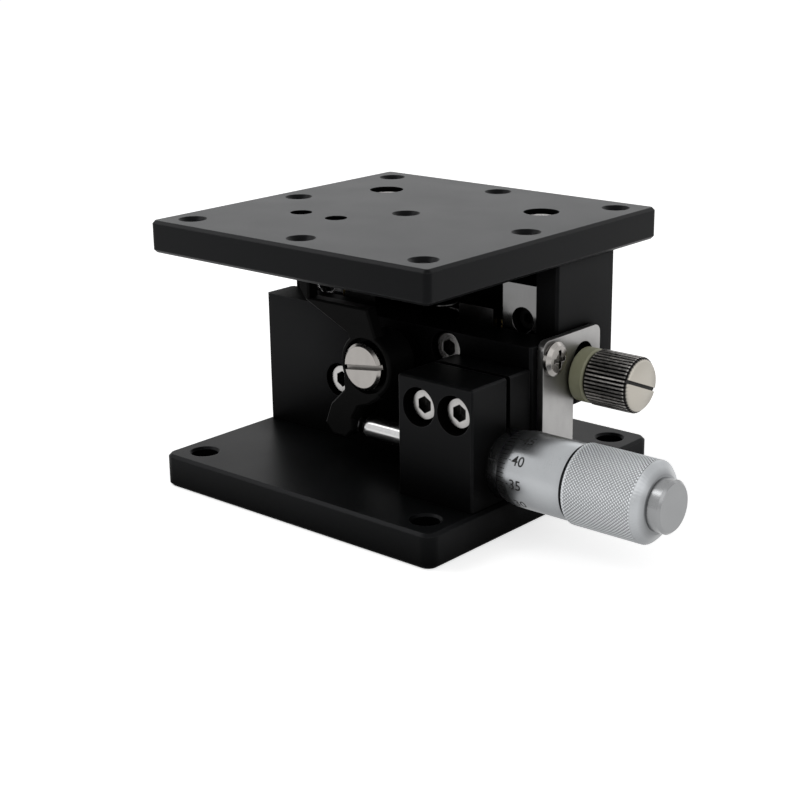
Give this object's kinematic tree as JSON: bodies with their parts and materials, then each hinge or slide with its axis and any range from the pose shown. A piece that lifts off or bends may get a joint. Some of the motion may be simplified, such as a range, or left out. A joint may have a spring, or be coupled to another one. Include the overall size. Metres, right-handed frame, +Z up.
{
  "type": "vertical translation stage",
  "caption": "Square vertical translation stage: a side micrometer drives a bell-crank lever that lifts the top plate on crossed-roller rails, with a thumb screw lock.",
  "frame": {"origin": "centre of the base plate's bottom face, which is the centre of its four mounting holes", "axes": "+X along the micrometer towards its thimble, -Y towards the lever side, +Z up, the way the top plate travels"},
  "size_m": [0.0897, 0.06, 0.0465],
  "materials": {
    "black_anodised": "satin black anodised",
    "black_anodised_top": "bead-blasted black anodised",
    "ground_steel": "ground bearing steel",
    "bright_nickel": "nickel plated",
    "black_screw": "black oxide steel",
    "satin_chrome": "satin chrome plated",
    "brass": "turned",
    "washer_plastic": "turned nylon",
    "spring_steel": "music wire"
  },
  "bodies": {
    "base": {"base_plate": "black_anodised_top", "base_screws": "black_screw", "fixed_column": "black_anodised", "fixed_rails": "ground_steel", "fixed_rail_screws": "bright_nickel", "lever_pivot_screw": "bright_nickel", "micrometer_bracket": "black_anodised", "bracket_screws": "bright_nickel", "micrometer_sleeve": "satin_chrome", "lock_plate": "bright_nickel", "lock_plate_screws": "bright_nickel", "lower_spring_pins": "ground_steel", "return_springs": "spring_steel"},
    "table": {"top_plate": "black_anodised_top", "moving_block": "black_anodised", "moving_rails": "ground_steel", "moving_rail_screws": "black_screw", "top_plate_screws": "bright_nickel", "contact_pad": "ground_steel", "contact_pad_screws": "black_screw", "upper_spring_pins": "ground_steel", "lock_washer": "washer_plastic"},
    "guide_cages": {"roller_cages": "brass", "rollers": "ground_steel"},
    "lever": {"lever": "black_screw", "lever_bush": "brass", "lever_tip_ball": "ground_steel", "lever_foot_button": "ground_steel"},
    "spindle": {"micrometer_spindle": "ground_steel"},
    "thimble": {"micrometer_thimble": "satin_chrome", "thimble_end_cap": "satin_chrome"},
    "thumb_screw": {"lock_thumb_screw": "bright_nickel"}
  },
  "joints": [
    {"name": "table_lift", "type": "slide", "parent": "base", "child": "table", "axis": [0, 0, 1], "range_m": [-0.0025, 0.002], "deforming": ["return_springs"]},
    {"name": "cage_travel", "type": "slide", "parent": "base", "child": "guide_cages", "axis": [0, 0, 1], "range_m": [-0.00126, 0.00101]},
    {"name": "lever_swing", "type": "hinge", "parent": "base", "child": "lever", "pos_m": [0.002, -0.01, 0.0233], "axis": [0, 1, 0], "range_deg": [-10.5, 8.4]},
    {"name": "spindle_feed", "type": "slide", "parent": "base", "child": "spindle", "axis": [1, 0, 0], "range_m": [-0.00171, 0.00213]},
    {"name": "thimble_turn", "type": "hinge", "parent": "spindle", "child": "thimble", "pos_m": [0.05, -0.01, 0.0117], "axis": [1, 0, 0], "range_deg": [-1221, 1526]},
    {"name": "lock_turn", "type": "hinge", "parent": "table", "child": "thumb_screw", "pos_m": [0.038, 0.00815, 0.0225], "axis": [1, 0, 0], "range_deg": [0, 360]}
  ],
  "couplings": [
    {"joint": "cage_travel", "follows": "table_lift", "ratio": 0.5},
    {"joint": "lever_swing", "follows": "table_lift", "rad_per_m": 72.993},
    {"joint": "spindle_feed", "follows": "table_lift", "ratio": -0.84672},
    {"joint": "thimble_turn", "follows": "table_lift", "rad_per_m": -10640}
  ]
}
